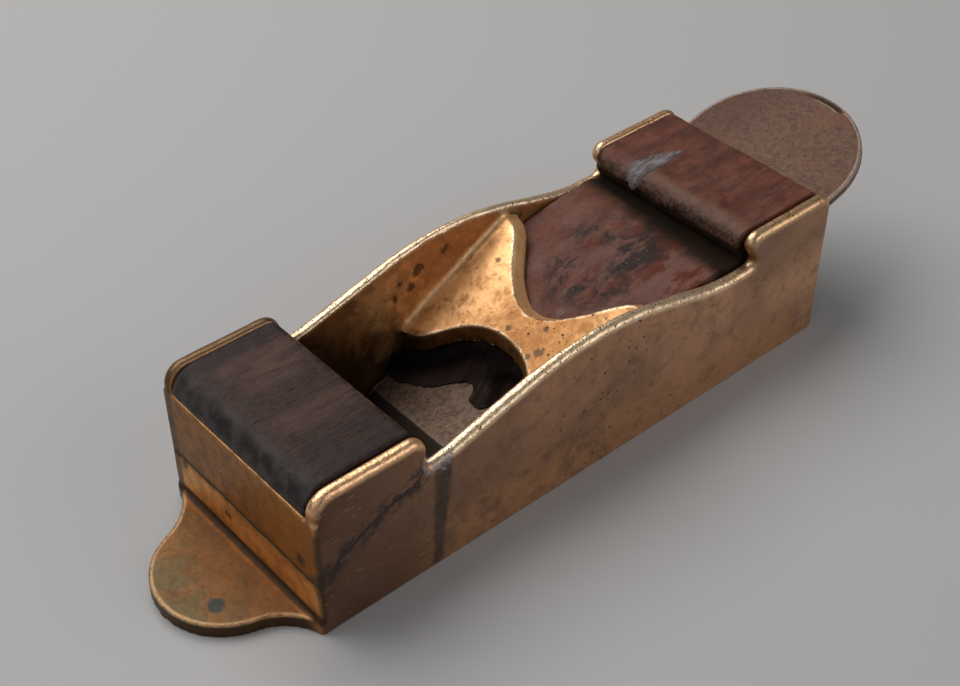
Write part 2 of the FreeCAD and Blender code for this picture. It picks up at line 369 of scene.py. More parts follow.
    def finish(self, colour, roughness, normal=None, metallic=0.0):
        self.join(colour, self.surface.inputs["Base Color"])
        self.join(roughness, self.surface.inputs["Roughness"])
        self.join(metallic, self.surface.inputs["Metallic"])
        if normal is not None:
            self.join(normal, self.surface.inputs["Normal"])
        return self.material


# ---- materials -----------------------------------------------------------------------------
# Colours are linear red, green and blue.

CAST_BROWN = (0.37, 0.160, 0.050)
CAST_BROWN_DEEP = (0.30, 0.125, 0.038)
CAST_TARNISH = (0.17, 0.072, 0.025)
CAST_GOLD = (0.50, 0.235, 0.080)
LIT_WALL_GOLD = (0.92, 0.48, 0.19)
WORN_GOLD = (0.78, 0.48, 0.25)
WORN_PALE = (1.0, 0.74, 0.48)
WORN_TOE_RIM = (1.0, 0.60, 0.33)
DULL_CHEEK = (0.110, 0.062, 0.030)
THROAT_OXIDE_AND_SHADE = (0.030, 0.015, 0.006)
RIDGE_HIGHLIGHT = (0.95, 0.62, 0.34)
CORNER_GRIME_AND_SHADE = (0.045, 0.022, 0.009)
SCRAPED_SOLE = (0.62, 0.37, 0.17)
PIT_BROWN = (0.040, 0.021, 0.011)

FRONT_ORANGE = (0.320, 0.128, 0.022)
FRONT_BROWN = (0.195, 0.080, 0.016)
FRONT_NEAR = (0.420, 0.165, 0.034)
FRONT_FOOT_GOLD = (0.800, 0.360, 0.095)
FRONT_FOOT_BROWN = (0.560, 0.245, 0.066)

BRIDGE_NEAR_SHADED = (0.46, 0.225, 0.083)
BRIDGE_NEAR_DARK = (0.33, 0.150, 0.050)
BRIDGE_FAR_LIT = (0.95, 0.53, 0.235)
BRIDGE_FAR_DARK = (0.66, 0.330, 0.125)
BRIDGE_CLOUD = (0.27, 0.115, 0.036)
BRIDGE_NEAR_GOLD = (0.64, 0.350, 0.150)
BRIDGE_RUST = (0.26, 0.105, 0.030)
BRIDGE_REAR_HIGHLIGHT = (0.82, 0.47, 0.20)

SIDE_MIDDLE = (0.50, 0.265, 0.148)
SIDE_TOE = (0.110, 0.054, 0.028)
SIDE_HEEL = (0.70, 0.390, 0.228)
SIDE_CHEEK = (0.300, 0.160, 0.092)
SIDE_PATCH = (0.175, 0.088, 0.056)
SIDE_HAZE = (0.235, 0.130, 0.092)
SIDE_LOW_GOLD_AND_BOUNCE = (0.64, 0.330, 0.145)
SIDE_CLOUD = (0.130, 0.066, 0.040)
LIGHT_MARK = (0.66, 0.42, 0.26)
DARK_MARK = (0.055, 0.030, 0.020)

CRACK_DARK = (0.022, 0.020, 0.024)
FILED_SILVER = (0.40, 0.35, 0.36)
GROOVE_DIRT = (0.020, 0.020, 0.010)
CORNER_DIRT = (0.050, 0.026, 0.012)
JOINT_DIRT = (0.050, 0.024, 0.009)
BLOT_BROWN = (0.050, 0.034, 0.024)

TONGUE_ORANGE = (0.215, 0.092, 0.030)
TONGUE_TAN = (0.150, 0.078, 0.030)
TONGUE_SPECK = (0.085, 0.045, 0.020)
TONGUE_GREEN = (0.125, 0.105, 0.048)
TONGUE_LIP = (0.55, 0.34, 0.18)
TONGUE_UNDERSIDE_SHADE = (0.040, 0.022, 0.010)
TONGUE_SPOT = (0.050, 0.065, 0.055)

# The four shades of each wood: light streaks, body colour, dark streaks, worn places.
TOE_WOOD = ((0.070, 0.029, 0.019), (0.025, 0.0105, 0.007), (0.008, 0.004, 0.003), (0.150, 0.095, 0.078))
WEDGE_WOOD = ((0.240, 0.074, 0.044), (0.150, 0.050, 0.032), (0.075, 0.030, 0.021), (0.190, 0.115, 0.090))
BED_WOOD = ((0.110, 0.062, 0.045), (0.050, 0.030, 0.024), (0.018, 0.012, 0.011), (0.10, 0.075, 0.065))
WOOD_GRIME_AND_SHADE = (0.006, 0.004, 0.004)
TOE_WOOD_RIM = (0.016, 0.012, 0.012)
TOE_WOOD_BAND = (0.100, 0.047, 0.034)
TOE_SHEEN_DARK = (0.026, 0.021, 0.021)
TOE_SHEEN_LIGHT = (0.060, 0.051, 0.049)

WEDGE_HAZE = (0.205, 0.120, 0.100)
DEEP_RED = (0.105, 0.024, 0.012)
WEDGE_SOOT = (0.024, 0.019, 0.018)
WEDGE_FLECK_GLINT = (0.24, 0.21, 0.20)
HEAD_DARK = (0.070, 0.027, 0.018)
HEAD_ROUNDING_HIGHLIGHT = (0.190, 0.112, 0.082)
END_GRAIN_LIGHT = (0.120, 0.085, 0.060)
END_GRAIN_DARK = (0.022, 0.014, 0.010)
COVE_SHADOW = (0.012, 0.008, 0.004)
GOUGE_DARK = (0.100, 0.088, 0.088)
GOUGE_LIGHT = (0.290, 0.262, 0.262)
GOUGE_LIP_SHADOW = (0.020, 0.014, 0.010)
CARVED_END_SHADE = (0.017, 0.010, 0.009)
CARVED_CREST_HIGHLIGHT = (0.15, 0.12, 0.11)
SHADE_BLACK = (0.003, 0.0015, 0.001)

RUST_DARK = (0.105, 0.053, 0.036)
RUST_LIGHT = (0.160, 0.092, 0.063)
RUST_RED = (0.185, 0.080, 0.046)
RUST_FAR_SIDE = (0.072, 0.034, 0.023)
RUST_SPECK = (0.045, 0.028, 0.020)
RUST_PALE = (0.34, 0.240, 0.185)
RUST_GRAIN = (0.065, 0.036, 0.026)
STEEL_DARK = (0.110, 0.068, 0.044)
STEEL_LIGHT = (0.215, 0.142, 0.100)
STEEL_BLOTCH = (0.085, 0.048, 0.034)
STEEL_SPECK = (0.050, 0.034, 0.027)
STEEL_PALE = (0.38, 0.30, 0.245)
STEEL_GRAIN = (0.055, 0.036, 0.028)
IRON_BEVEL = (0.072, 0.050, 0.036)
IRON_EDGE_HIGHLIGHT = (0.50, 0.385, 0.32)
IRON_DENT_SHADOW = (0.022, 0.014, 0.010)
SCREW_DARK = (0.17, 0.15, 0.135)
SCREW_LIGHT = (0.36, 0.335, 0.31)
SCREW_RUST = (0.15, 0.09, 0.055)

# The crack in the near side, as x and z, from the low wing down to the toe wall's corner.
CRACK_ROUTE = ((33.5, 35.8), (30.1, 32.6), (21.5, 30.6), (14.8, 27.4), (7.0, 23.2), (0.0, 17.5))

# Brown blots on the far wall, the bridge and the toe wall: centre and radius.
BLOTS = (((92.2, 28.9, 40.1), 1.8), ((79.5, 28.9, 32.9), 2.0), ((73.3, 28.9, 31.4), 1.5),
         ((81.9, 28.9, 37.7), 2.4), ((75.3, 28.9, 35.7), 1.4), ((90.8, -11.8, 28.4), 2.0),
         ((88.4, -10.0, 27.2), 1.2), ((96.7, -8.5, 31.7), 1.3), ((91.2, 1.1, 28.8), 1.2),
         ((103.9, 19.7, 35.4), 1.3), ((0.0, 31.2, 28.2), 2.2), ((0.0, 27.0, 14.9), 2.0),
         ((0.0, -25.7, 21.8), 2.4), ((0.0, 7.3, 11.4), 1.6))


def gunmetal():
    """Aged gunmetal: golden brown, polished on its rims, with grime and painted shade in the corners, oxide
    and painted shade in the throat, and painted light and highlights on the bridge.
    """
    s = Shader("gunmetal_aged")
    s.surface.inputs["Specular IOR Level"].default_value = 0.3
    edge = s.attribute("edge")
    up = s.split(s.normal)["Z"]
    sideways = s.absolute(s.split(s.normal)["Y"])
    across = s.absolute(s.y)
    broad = s.noise(34.0, 3.0)
    patches = s.noise(8.0, 5.0, 0.62, 0.5)
    cloud = s.noise(4.5, 4.0, 0.55, 0.3)
    fine = s.noise(1.3, 4.0, 0.7)

    colour = cast_skin(s, broad, patches, cloud)
    colour = front_wall(s, colour, cloud)
    colour, bridge = bridge_top(s, colour, up, across, patches, cloud)
    outer = s.times(s.span(sideways, 0.6, 0.95), s.span(across, 31.0, 32.4))
    colour = s.mix(s.times(outer, 0.95), colour, outer_side(s, broad, patches, cloud))
    worn = wear(s, edge, up, across)
    pale_rim = s.times(s.span(across, 28.0, 29.0), s.span(s.x, 170.0, 130.0))
    colour = polish(s, colour, worn, s.most(pale_rim, bridge))
    far_cheek = s.times(s.span(s.y, 28.6, 29.6), s.span(s.x, CHEEK_END, 35.0), s.span(sideways, 0.75, 0.45))
    colour = s.mix(s.times(far_cheek, 0.85), colour, DULL_CHEEK)
    colour = throat_oxide_and_shade(s, colour, patches, across, up)
    colour, grime_and_shade = corners(s, colour, edge, bridge)
    colour = scraped_sole(s, colour, up)
    pits = pitting(s, worn)
    colour = s.mix(s.times(pits, 0.9), colour, PIT_BROWN)
    colour, stained = body_stains(s, colour, fine)

    dirty = s.most(grime_and_shade, stained)
    roughness = s.blend(worn, s.span(fine, 0.3, 0.7, 0.37, 0.50), s.span(fine, 0.3, 0.7, 0.27, 0.40))
    roughness = s.plus(roughness, s.times(dirty, 0.2), clamp=True)
    scratches = s.noise(0.9, 2.0, 0.5, 0.0, s.stretched((0.10, 1.0, 2.6), (0.0, 0.35, 0.0)))
    height = s.minus(s.plus(s.times(fine, 0.45), s.times(scratches, 0.35)), pits)
    normal = s.bump(s.noise(9.0, 3.0), 0.6, 0.6)
    normal = s.bump(height, 0.07, 0.8, normal)
    grains = s.times(s.noise(1.0, 2.0, 0.6), worn, pale_rim)
    normal = s.bump(grains, 0.16, 0.9, normal)
    metallic = s.minus(s.blend(worn, 0.66, 0.92), s.times(dirty, 0.4))
    return s.finish(colour, roughness, normal, metallic)


def cast_skin(s, broad, patches, cloud):
    """Brown of the casting's inside, with the far wall caught by the light before the bridge."""
    colour = s.mix(s.span(broad, 0.40, 0.62), CAST_BROWN, CAST_BROWN_DEEP)
    colour = s.mix(s.span(patches, 0.50, 0.68, 0.0, 0.7), colour, CAST_TARNISH)
    colour = s.mix(s.span(cloud, 0.48, 0.34, 0.0, 0.5), colour, CAST_GOLD)
    lit_wall = s.times(s.span(s.y, 28.0, 28.7), s.span(s.x, 54.0, 66.0), s.span(s.x, 96.0, 78.0, 0.35, 1.0))
    return s.mix(s.times(lit_wall, s.span(cloud, 0.35, 0.65, 1.0, 0.45)), colour, LIT_WALL_GOLD)


def front_wall(s, colour, cloud):
    """The toe wall's face: deep orange brown above the scored line, lighter below it."""
    on_front = s.times(s.span(s.x, 1.4, 0.7), s.span(s.z, 5.0, 7.0))
    upper = s.mix(s.span(cloud, 0.40, 0.62), FRONT_ORANGE, FRONT_BROWN)
    upper = s.mix(s.span(s.y, 0.0, -26.0, 0.0, 0.6), upper, FRONT_NEAR)
    lower = s.mix(s.span(cloud, 0.40, 0.62), FRONT_FOOT_GOLD, FRONT_FOOT_BROWN)
    face = s.mix(s.span(s.z, 16.0, 18.0), lower, upper)
    return s.mix(s.times(on_front, 0.92), colour, face)


def bridge_top(s, colour, up, across, patches, cloud):
    """Golden bridge with brown clouds, its far half painted lighter and its near half darker as painted
    light, and a painted highlight on its faces towards the heel; and the mask of where it is.
    """
    bridge = s.times(s.span(s.x, 68.0, 74.0), s.span(s.x, 126.0, 120.0))
    bridge = s.times(bridge, s.span(across, 29.5, 28.6), s.span(up, 0.35, 0.65))
    # Painted light: the far half is painted lighter than the near half.
    near = s.mix(s.span(patches, 0.40, 0.64), BRIDGE_NEAR_SHADED, BRIDGE_NEAR_DARK)
    far = s.mix(s.span(patches, 0.44, 0.68), BRIDGE_FAR_LIT, BRIDGE_FAR_DARK)
    golden = s.mix(s.span(s.y, 2.0, 20.0), near, far)
    golden = s.mix(s.span(cloud, 0.50, 0.66, 0.0, 0.55), golden, BRIDGE_CLOUD)
    near_end = s.times(s.span(s.y, -14.0, -24.0), s.span(cloud, 0.62, 0.45))
    golden = s.mix(s.times(near_end, 0.7), golden, BRIDGE_NEAR_GOLD)
    rusty = s.near((91.0, -8.0, 29.0), (7.0, 11.0, 8.0), s.times(s.minus(cloud, 0.5), 14.0))
    golden = s.mix(s.times(rusty, 0.5), golden, BRIDGE_RUST)
    # Painted highlight on the faces that turn towards the heel.
    facing_heel = s.span(s.split(s.normal)["X"], 0.12, 0.35)
    golden = s.mix(facing_heel, golden, BRIDGE_REAR_HIGHLIGHT)
    return s.mix(bridge, colour, golden), bridge


def outer_side(s, broad, patches, cloud):
    """Dull brown skin of the sides: darker at the toe, more golden low down (patchy tone together with
    painted light standing in for light bounced up from the floor), full of fine marks.
    """
    skin = s.mix(s.span(s.x, 75.0, -5.0), SIDE_MIDDLE, SIDE_TOE)
    skin = s.mix(s.span(s.x, 95.0, 150.0, 0.0, 0.85), skin, SIDE_HEEL)
    rear_cheek = s.times(s.span(s.x, 140.0, 160.0), s.span(s.z, 22.0, 38.0))
    skin = s.mix(s.times(rear_cheek, 0.7), skin, SIDE_CHEEK)
    skin = s.mix(s.span(patches, 0.46, 0.70, 0.0, 0.40), skin, SIDE_PATCH)
    skin = s.mix(s.span(broad, 0.45, 0.60, 0.0, 0.45), skin, SIDE_HAZE)
    # Low down: patchy golden tone with painted bounce light from the floor.
    low = s.times(s.span(s.z, 22.0, 6.0), s.span(s.x, 25.0, 50.0))
    skin = s.mix(s.times(low, s.span(cloud, 0.62, 0.38, 0.2, 0.75)), skin, SIDE_LOW_GOLD_AND_BOUNCE)
    skin = s.mix(s.span(cloud, 0.52, 0.72, 0.0, 0.3), skin, SIDE_CLOUD)
    dashes = s.noise(0.7, 2.0, 0.5, 0.0, s.stretched((0.16, 1.0, 1.0), (0.0, 0.6, 0.0)))
    zone = s.span(s.noise(7.0, 2.0), 0.44, 0.60)
    light_marks = s.times(s.span(dashes, 0.62, 0.70), zone)
    dark_marks = s.times(s.span(dashes, 0.36, 0.29), zone)
    skin = s.mix(s.times(light_marks, 0.6), skin, LIGHT_MARK)
    return s.mix(s.times(dark_marks, 0.7), skin, DARK_MARK)


def wear(s, edge, up, across):
    """Where the metal is rubbed bright: the rims all round and the bridge's edges."""
    broken = s.span(s.noise(2.4, 4.0, 0.7), 0.30, 0.52, 0.25, 1.0)
    worn = s.times(s.span(edge, 0.26, 0.80), s.span(up, -0.1, 0.55, 0.05, 1.0), broken)
    rim = s.times(s.span(up, 0.05, 0.55), s.span(across, 28.6, 29.4), s.span(s.z, 20.0, 26.0))
    worn = s.most(worn, s.times(rim, s.span(broken, 0.25, 1.0, 0.60, 1.0)))
    dull_cheek = s.times(s.span(s.y, 27.0, 29.0), s.span(s.x, CHEEK_END, 34.0, 0.0, 1.2))
    under_wood = s.times(s.span(s.x, 4.6, 4.2), s.span(across, 28.8, 28.2), s.span(s.z, 34.0, 36.0))
    worn = s.times(worn, s.span(s.most(dull_cheek, under_wood), 0.0, 1.0, 1.0, 0.25))
    return s.times(worn, s.span(s.z, 3.0, 8.0, 0.35, 1.0))


def polish(s, colour, worn, pale):
    """Brightens the worn places: palest on the rims and the bridge, more golden at the near toe rim."""
    bright = s.mix(pale, WORN_GOLD, WORN_PALE)
    near_toe_rim = s.times(s.span(s.y, -28.0, -29.0), s.span(s.x, 42.0, 36.0))
    bright = s.mix(near_toe_rim, bright, WORN_TOE_RIM)
    return s.mix(worn, colour, bright)


def throat_oxide_and_shade(s, colour, patches, across, up):
    """Darkens the inside of the walls below a ragged slope over the mouth: oxide together with painted
    shade in the throat.
    """
    slope = s.plus(s.z, s.times(s.minus(s.x, 35.0), 0.46))
    slope = s.plus(slope, s.times(s.minus(patches, 0.5), 34.0))
    darkened = s.times(s.span(slope, 45.0, 29.0), s.span(across, 31.0, 29.2))
    darkened = s.times(darkened, s.span(s.x, 30.0, 34.0), s.span(up, -0.8, -0.4))
    return s.mix(s.times(darkened, 0.9), colour, THROAT_OXIDE_AND_SHADE)


def corners(s, colour, edge, bridge):
    """Grime with painted shade in the concave corners, except along the bridge's far fillet, which gets a
    painted highlight instead.
    """
    ridge = s.distance_to_segment((77.0, 28.9, 21.6), (113.0, 28.9, 41.0))
    # Concave corners darkened: grime together with painted shade.
    grime_and_shade = s.times(s.span(edge, -0.15, -0.8), s.span(bridge, 0.0, 1.0, 1.0, 0.4), s.span(ridge, 2.0, 4.0))
    # Painted highlight along the fillet at the bridge's far end.
    colour = s.mix(s.times(s.span(ridge, 1.3, 0.4), 0.7), colour, RIDGE_HIGHLIGHT)
    return s.mix(s.times(grime_and_shade, 0.85), colour, CORNER_GRIME_AND_SHADE), grime_and_shade


def scraped_sole(s, colour, up):
    """Bright lengthwise scrapes on the sole."""
    scraped = s.noise(1.1, 3.0, 0.6, 0.0, s.stretched((0.05, 1.0, 1.0), (0.0, 0.0, 0.04)))
    sole = s.span(up, -0.85, -0.97)
    return s.mix(s.times(sole, s.span(scraped, 0.35, 0.65, 0.25, 0.85)), colour, SCRAPED_SOLE)


def pitting(s, worn):
    """Casting pits and brown specks, thickest over the bridge and along the polished rims."""
    bridge = s.times(s.span(s.x, 76.0, 82.0), s.span(s.y, 14.0, -2.0), s.span(s.x, 116.0, 108.0))
    scattered = s.span(s.noise(6.0, 2.0), 0.48, 0.60)
    small = s.times(s.span(s.cells(1.1), 0.26, 0.10), scattered, s.span(bridge, 0.0, 1.0, 0.45, 1.0))
    large = s.times(s.span(s.cells(3.1), 0.17, 0.09), s.span(bridge, 0.0, 1.0, 0.25, 1.0))
    on_rim = s.times(s.span(s.cells(1.0), 0.36, 0.20), worn, 0.95)
    on_rim = s.times(on_rim, s.span(s.noise(4.0, 2.0), 0.46, 0.56), s.span(s.x, 36.0, 42.0, 0.35, 1.0))
    return s.most(small, large, on_rim)


def body_stains(s, colour, fine):
    """Every stain on the casting, and the mask of where they dull it."""
    wobble = s.times(s.minus(s.noise(3.0, 3.0), 0.5), 2.2)
    ragged = s.times(s.minus(s.noise(1.3, 3.0, 0.7), 0.5), 2.6)
    dark = crack_and_run(s, wobble, fine)
    colour = s.mix(s.times(dark, 0.88), colour, CRACK_DARK)
    filed = s.near((38.5, 1.5 - HALF_WIDTH, 35.0), (6.5, 5.0, 3.4), wobble)
    colour = s.mix(s.times(filed, s.span(fine, 0.40, 0.60)), colour, FILED_SILVER)
    colour, groove = dirt_lines(s, colour, wobble)
    colour, on_tongue, spot = tongue_skin(s, colour, fine, wobble)
    for centre, radius in BLOTS:
        blot = s.near(centre, (radius,) * 3, ragged)
        colour = s.mix(s.times(blot, 0.8), colour, BLOT_BROWN)
    return colour, s.most(dark, spot, s.times(on_tongue, 0.5), groove)


def crack_and_run(s, wobble, fine):
    """Mask of the old crack with its smudges, and of the dark run down the near side below the wing."""
    side = -HALF_WIDTH
    crack = None
    for (start_x, start_z), (end_x, end_z) in zip(CRACK_ROUTE, CRACK_ROUTE[1:]):
        distance = s.distance_to_segment((start_x, side, start_z), (end_x, side, end_z))
        crack = distance if crack is None else s.least(crack, distance)
    crack = s.plus(crack, wobble)
    smudge = s.span(s.noise(3.6, 4.0, 0.6), 0.42, 0.58, 0.08, 0.9)
    crack_mask = s.most(s.span(crack, 0.9, 0.3), s.times(s.span(crack, 5.0, 1.6), smudge))
    middle = s.span(s.z, 0.0, 34.0, 37.2, 39.6)
    width = s.span(s.z, 0.0, 34.0, 1.8, 3.4)
    run = s.plus(s.absolute(s.minus(s.x, middle)), wobble)
    run_mask = s.times(s.span(s.math("DIVIDE", run, width), 1.2, 0.5), s.span(s.y, side + 1.5, side + 0.3))
    run_mask = s.times(run_mask, s.span(fine, 0.2, 0.55, 0.65, 1.0))
    return s.most(crack_mask, s.times(run_mask, 0.85))


def dirt_lines(s, colour, wobble):
    """Dirt in the scored line, down the near front corner and where the tongue meets the toe wall."""
    on_front = s.times(s.span(s.x, 1.5, 0.8), s.span(s.z, 6.0, 8.0))
    groove = s.plus(s.absolute(s.minus(s.z, GROOVE_HEIGHT)), s.times(wobble, 0.35))
    groove = s.times(s.most(s.span(groove, 0.9, 0.3), s.span(groove, 2.6, 0.5, 0.0, 0.5)), on_front)
    colour = s.mix(s.times(groove, 0.9), colour, GROOVE_DIRT)
    ragged = s.times(wobble, 0.4)
    corner = s.plus(s.distance_to_segment((0.3, -HALF_WIDTH, 4.0), (0.3, -HALF_WIDTH, 34.0)), ragged)
    colour = s.mix(s.span(corner, 1.9, 0.5, 0.0, 0.75), colour, CORNER_DIRT)
    joint = s.plus(s.distance_to_segment((-0.2, -34.0, 4.6), (-0.2, 34.0, 4.6)), ragged)
    return s.mix(s.span(joint, 2.0, 0.6, 0.0, 0.8), colour, JOINT_DIRT), groove


def tongue_skin(s, colour, fine, wobble):
    """The tongue's dull tan with green patches, a rubbed edge, painted shade on the downward faces along
    its edge and one dark spot; with its masks.
    """
    on_tongue = s.times(s.span(s.x, -1.0, -3.0), s.span(s.z, 2.6, 4.0))
    tan = s.mix(s.span(s.noise(9.0, 4.0), 0.40, 0.60), TONGUE_ORANGE, TONGUE_TAN)
    tan = s.mix(s.span(fine, 0.55, 0.70, 0.0, 0.6), tan, TONGUE_SPECK)
    colour = s.mix(s.times(on_tongue, 0.85), colour, tan)
    green = s.times(s.span(s.x, -10.0, -23.0), s.span(s.noise(5.0, 4.0), 0.40, 0.58), on_tongue)
    colour = s.mix(s.times(green, 0.75), colour, TONGUE_GREEN)
    lip = s.times(s.span(s.attribute("edge"), 0.45, 0.95), s.span(fine, 0.34, 0.58, 0.15, 1.0))
    colour = s.mix(s.times(lip, on_tongue, 0.75), colour, TONGUE_LIP)
    # Painted shade on the faces that turn down under the tongue's edge.
    shaded_underside = s.times(s.span(s.x, -0.5, -2.0), s.span(s.z, 3.9, 3.4))
    shaded_underside = s.times(shaded_underside, s.span(s.split(s.normal)["Z"], -0.9, -0.6))
    colour = s.mix(s.times(shaded_underside, 0.9), colour, TONGUE_UNDERSIDE_SHADE)
    spot = s.near((-16.3, -10.3, 4.3), (3.2, 3.2, 3.0), s.times(wobble, 0.35))
    return s.mix(s.times(spot, 0.9), colour, TONGUE_SPOT), on_tongue, spot


def rosewood(name, shades, gloss, streaked=0.85):
    """Rosewood with its grain along the plane: faint streaks, open pores, scratches, handled sheen."""
    light, middle, dark, worn = shades
    s = Shader(name)
    s.surface.inputs["Specular IOR Level"].default_value = 0.15
    edge = s.attribute("edge")
    grain = s.noise(5.0, 5.0, 0.6, 0.4, s.stretched((0.09, 1.0, 1.0), (0.02, 0.0, 0.03)))
    streak = s.noise(0.55, 4.0, 0.75, 0.0, s.stretched((0.04, 1.0, 1.0), (0.0, 0.02, -0.02)))
    blotch = s.noise(13.0, 4.0, 0.6)
    pores = s.noise(0.32, 2.0, 0.5, 0.0, s.stretched((0.07, 1.0, 1.0)))
    colour = s.mix(s.span(grain, 0.28, 0.60), dark, middle)
    colour = s.mix(s.span(streak, 0.45, 0.64, 0.0, streaked), colour, light)
    colour = s.mix(s.span(blotch, 0.54, 0.70, 0.0, 0.6), colour, dark)
    pore_mask = s.span(pores, 0.58, 0.70)
    colour = s.mix(s.times(pore_mask, 0.6), colour, tuple(part * 0.25 for part in dark))
    rubbed = s.times(s.span(edge, 0.15, 0.8), s.span(s.noise(3.0, 4.0), 0.40, 0.65))
    colour = s.mix(s.times(rubbed, 0.35), colour, worn)
    scuffs = s.noise(0.5, 3.0, 0.8, 0.0, s.stretched((0.07, 1.0, 1.0), (0.0, 0.0, 0.30)))
    scuff_mask = s.times(s.span(scuffs, 0.60, 0.72), s.span(s.noise(10.0, 2.0), 0.42, 0.60))
    colour = s.mix(s.times(scuff_mask, 0.5), colour, worn)
    # Hollows darkened: grime together with painted shade.
    grime_and_shade = s.span(edge, -0.1, -0.6)
    colour = s.mix(s.times(grime_and_shade, 0.85), colour, WOOD_GRIME_AND_SHADE)
    roughness = s.span(streak, 0.3, 0.7, gloss, gloss + 0.16)
    roughness = s.plus(roughness, s.times(s.most(scuff_mask, grime_and_shade), 0.2), clamp=True)
    height = s.minus(s.times(streak, 0.6), s.most(pore_mask, scuff_mask))
    normal = s.bump(s.noise(9.0, 2.0), 0.3, 0.4)
    normal = s.bump(height, 0.035, 0.9, normal)
    return s, colour, roughness, normal


def toe_wood():
    """Near black wood with two brown bands along it, greyed by a painted sheen along its rounded front
    edge.
    """
    s, colour, roughness, normal = rosewood("rosewood_toe", TOE_WOOD, 0.34)
    rim = s.span(s.absolute(s.y), 19.0, 28.0)
    colour = s.mix(s.times(rim, 0.62), colour, TOE_WOOD_RIM)
    far_band = s.span(s.absolute(s.minus(s.y, 14.5)), 9.5, 4.5)
    middle_band = s.span(s.absolute(s.plus(s.y, 7.0)), 6.0, 2.0, 0.0, 0.65)
    bands = s.times(s.most(far_band, middle_band), s.span(s.x, 6.0, 11.0))
    ragged = s.noise(4.0, 5.0, 0.65, 0.3, s.stretched((0.25, 1.0, 1.0)))
    bands = s.times(bands, s.span(ragged, 0.36, 0.62, 0.1, 1.0))
    colour = s.mix(s.times(bands, 0.7), colour, TOE_WOOD_BAND)
    # Painted sheen along the rounded front edge.
    front_sheen = s.span(s.x, 6.5, 3.0)
    sheen = s.mix(s.span(s.noise(4.0, 3.0, 0.6), 0.36, 0.64), TOE_SHEEN_DARK, TOE_SHEEN_LIGHT)
    colour = s.mix(s.times(front_sheen, 0.85), colour, sheen)
    return s.finish(colour, roughness, normal)


def wedge_wood():
    """Redder wood with black and grey smears, with painted shadow in the cove under the head and painted
    shade at its carved end.
    """
    s, colour, roughness, normal = rosewood("rosewood_wedge", WEDGE_WOOD, 0.42, 0.5)
    haze = s.noise(9.0, 4.0, 0.6, 0.2, s.stretched((0.6, 1.0, 1.0), (0.0, 0.0, 0.3)))
    smear = s.noise(7.0, 6.0, 0.70, 0.35, s.stretched((0.5, 1.0, 1.0), (0.0, 0.0, 0.5)))
    colour, darkened = wedge_deck(s, colour, haze, smear)
    colour = wedge_head(s, colour, haze, smear)
    # Painted shadow in the cove under the head's overhang.
    reach = s.plus(s.x, s.times(s.minus(smear, 0.5), 7.0))
    reach = s.minus(reach, s.times(s.y, 0.08))
    cove_shadow = s.times(s.span(reach, 141.0, 147.5), s.span(s.z, 44.4, 42.6))
    colour = s.mix(s.times(cove_shadow, 0.92), colour, COVE_SHADOW)
    colour, gouge = torn_wood(s, colour, smear)
    colour, carved, shade = carved_end(s, colour)
    torn_or_sooty = s.times(s.most(gouge, darkened), 0.15)
    rough = s.most(torn_or_sooty, s.times(carved, 0.05), s.times(s.most(shade, cove_shadow), 0.5))
    return s.finish(colour, s.plus(roughness, rough, clamp=True), normal)


def wedge_deck(s, colour, haze, smear):
    """Pale haze, a deep red patch and sooty smears on the slope, with light flecks painted as glints; with
    the soot's mask.
    """
    hazy = s.times(s.span(haze, 0.44, 0.60, 0.0, 0.75), s.span(s.x, 160.0, 140.0, 0.4, 1.0))
    hazy = s.times(hazy, s.span(s.x, 118.0, 104.0, 0.45, 1.0))
    colour = s.mix(hazy, colour, WEDGE_HAZE)
    deep = s.near((137.0, -16.0, 40.0), (20.0, 17.0, 8.0), s.times(s.minus(haze, 0.5), 8.0))
    colour = s.mix(s.times(deep, 0.92), colour, DEEP_RED)
    darkened = s.times(s.span(smear, 0.45, 0.60), s.near((126.0, -1.0, 38.0), (26.0, 22.0, 30.0)))
    colour = s.mix(s.times(darkened, 0.9), colour, WEDGE_SOOT)
    # Light flecks painted as glints.
    glint_flecks = s.times(s.span(s.noise(0.9, 3.0, 0.8), 0.60, 0.70), darkened)
    return s.mix(s.times(glint_flecks, 0.7), colour, WEDGE_FLECK_GLINT), darkened


def wedge_head(s, colour, haze, smear):
    """Darker clouds on the head, a painted highlight along its worn, rounded front and its end grain
    mottled.
    """
    on_head = s.times(s.span(s.x, 154.0, 158.0), s.span(smear, 0.44, 0.60))
    colour = s.mix(s.times(on_head, 0.6), colour, HEAD_DARK)
    # Painted highlight along the head's rounded front.
    rounding_highlight = s.times(s.span(s.x, 158.5, 154.0), s.span(s.y, 16.0, 6.0), s.span(s.z, 45.0, 47.0))
    colour = s.mix(s.times(rounding_highlight, s.span(haze, 0.36, 0.62, 0.65, 0.25)), colour, HEAD_ROUNDING_HIGHLIGHT)
    grain_ends = s.mix(s.span(s.noise(1.1, 4.0, 0.75), 0.38, 0.60), END_GRAIN_LIGHT, END_GRAIN_DARK)
    front = s.times(s.span(s.x, 154.0, 150.5), s.span(s.z, 42.5, 44.0))
    return s.mix(s.times(front, 0.8), colour, grain_ends)


def torn_wood(s, colour, smear):
    """Grey torn fibres in the gouge and painted shadow along its deep lip; with the gouge's mask."""
    gouge = s.attribute("gouge")
    torn = s.noise(0.8, 4.0, 0.7, 0.0, s.stretched((0.12, 1.0, 1.0), (0.0, 0.0, 0.35)))
    grey = s.mix(s.span(torn, 0.35, 0.65), GOUGE_DARK, GOUGE_LIGHT)
    colour = s.mix(s.times(gouge, s.span(smear, 0.3, 0.6, 0.55, 0.9)), colour, grey)
    # Painted shadow along the gouge's deep lip.
    return s.mix(s.times(s.attribute("lip"), 0.9), colour, GOUGE_LIP_SHADOW), gouge


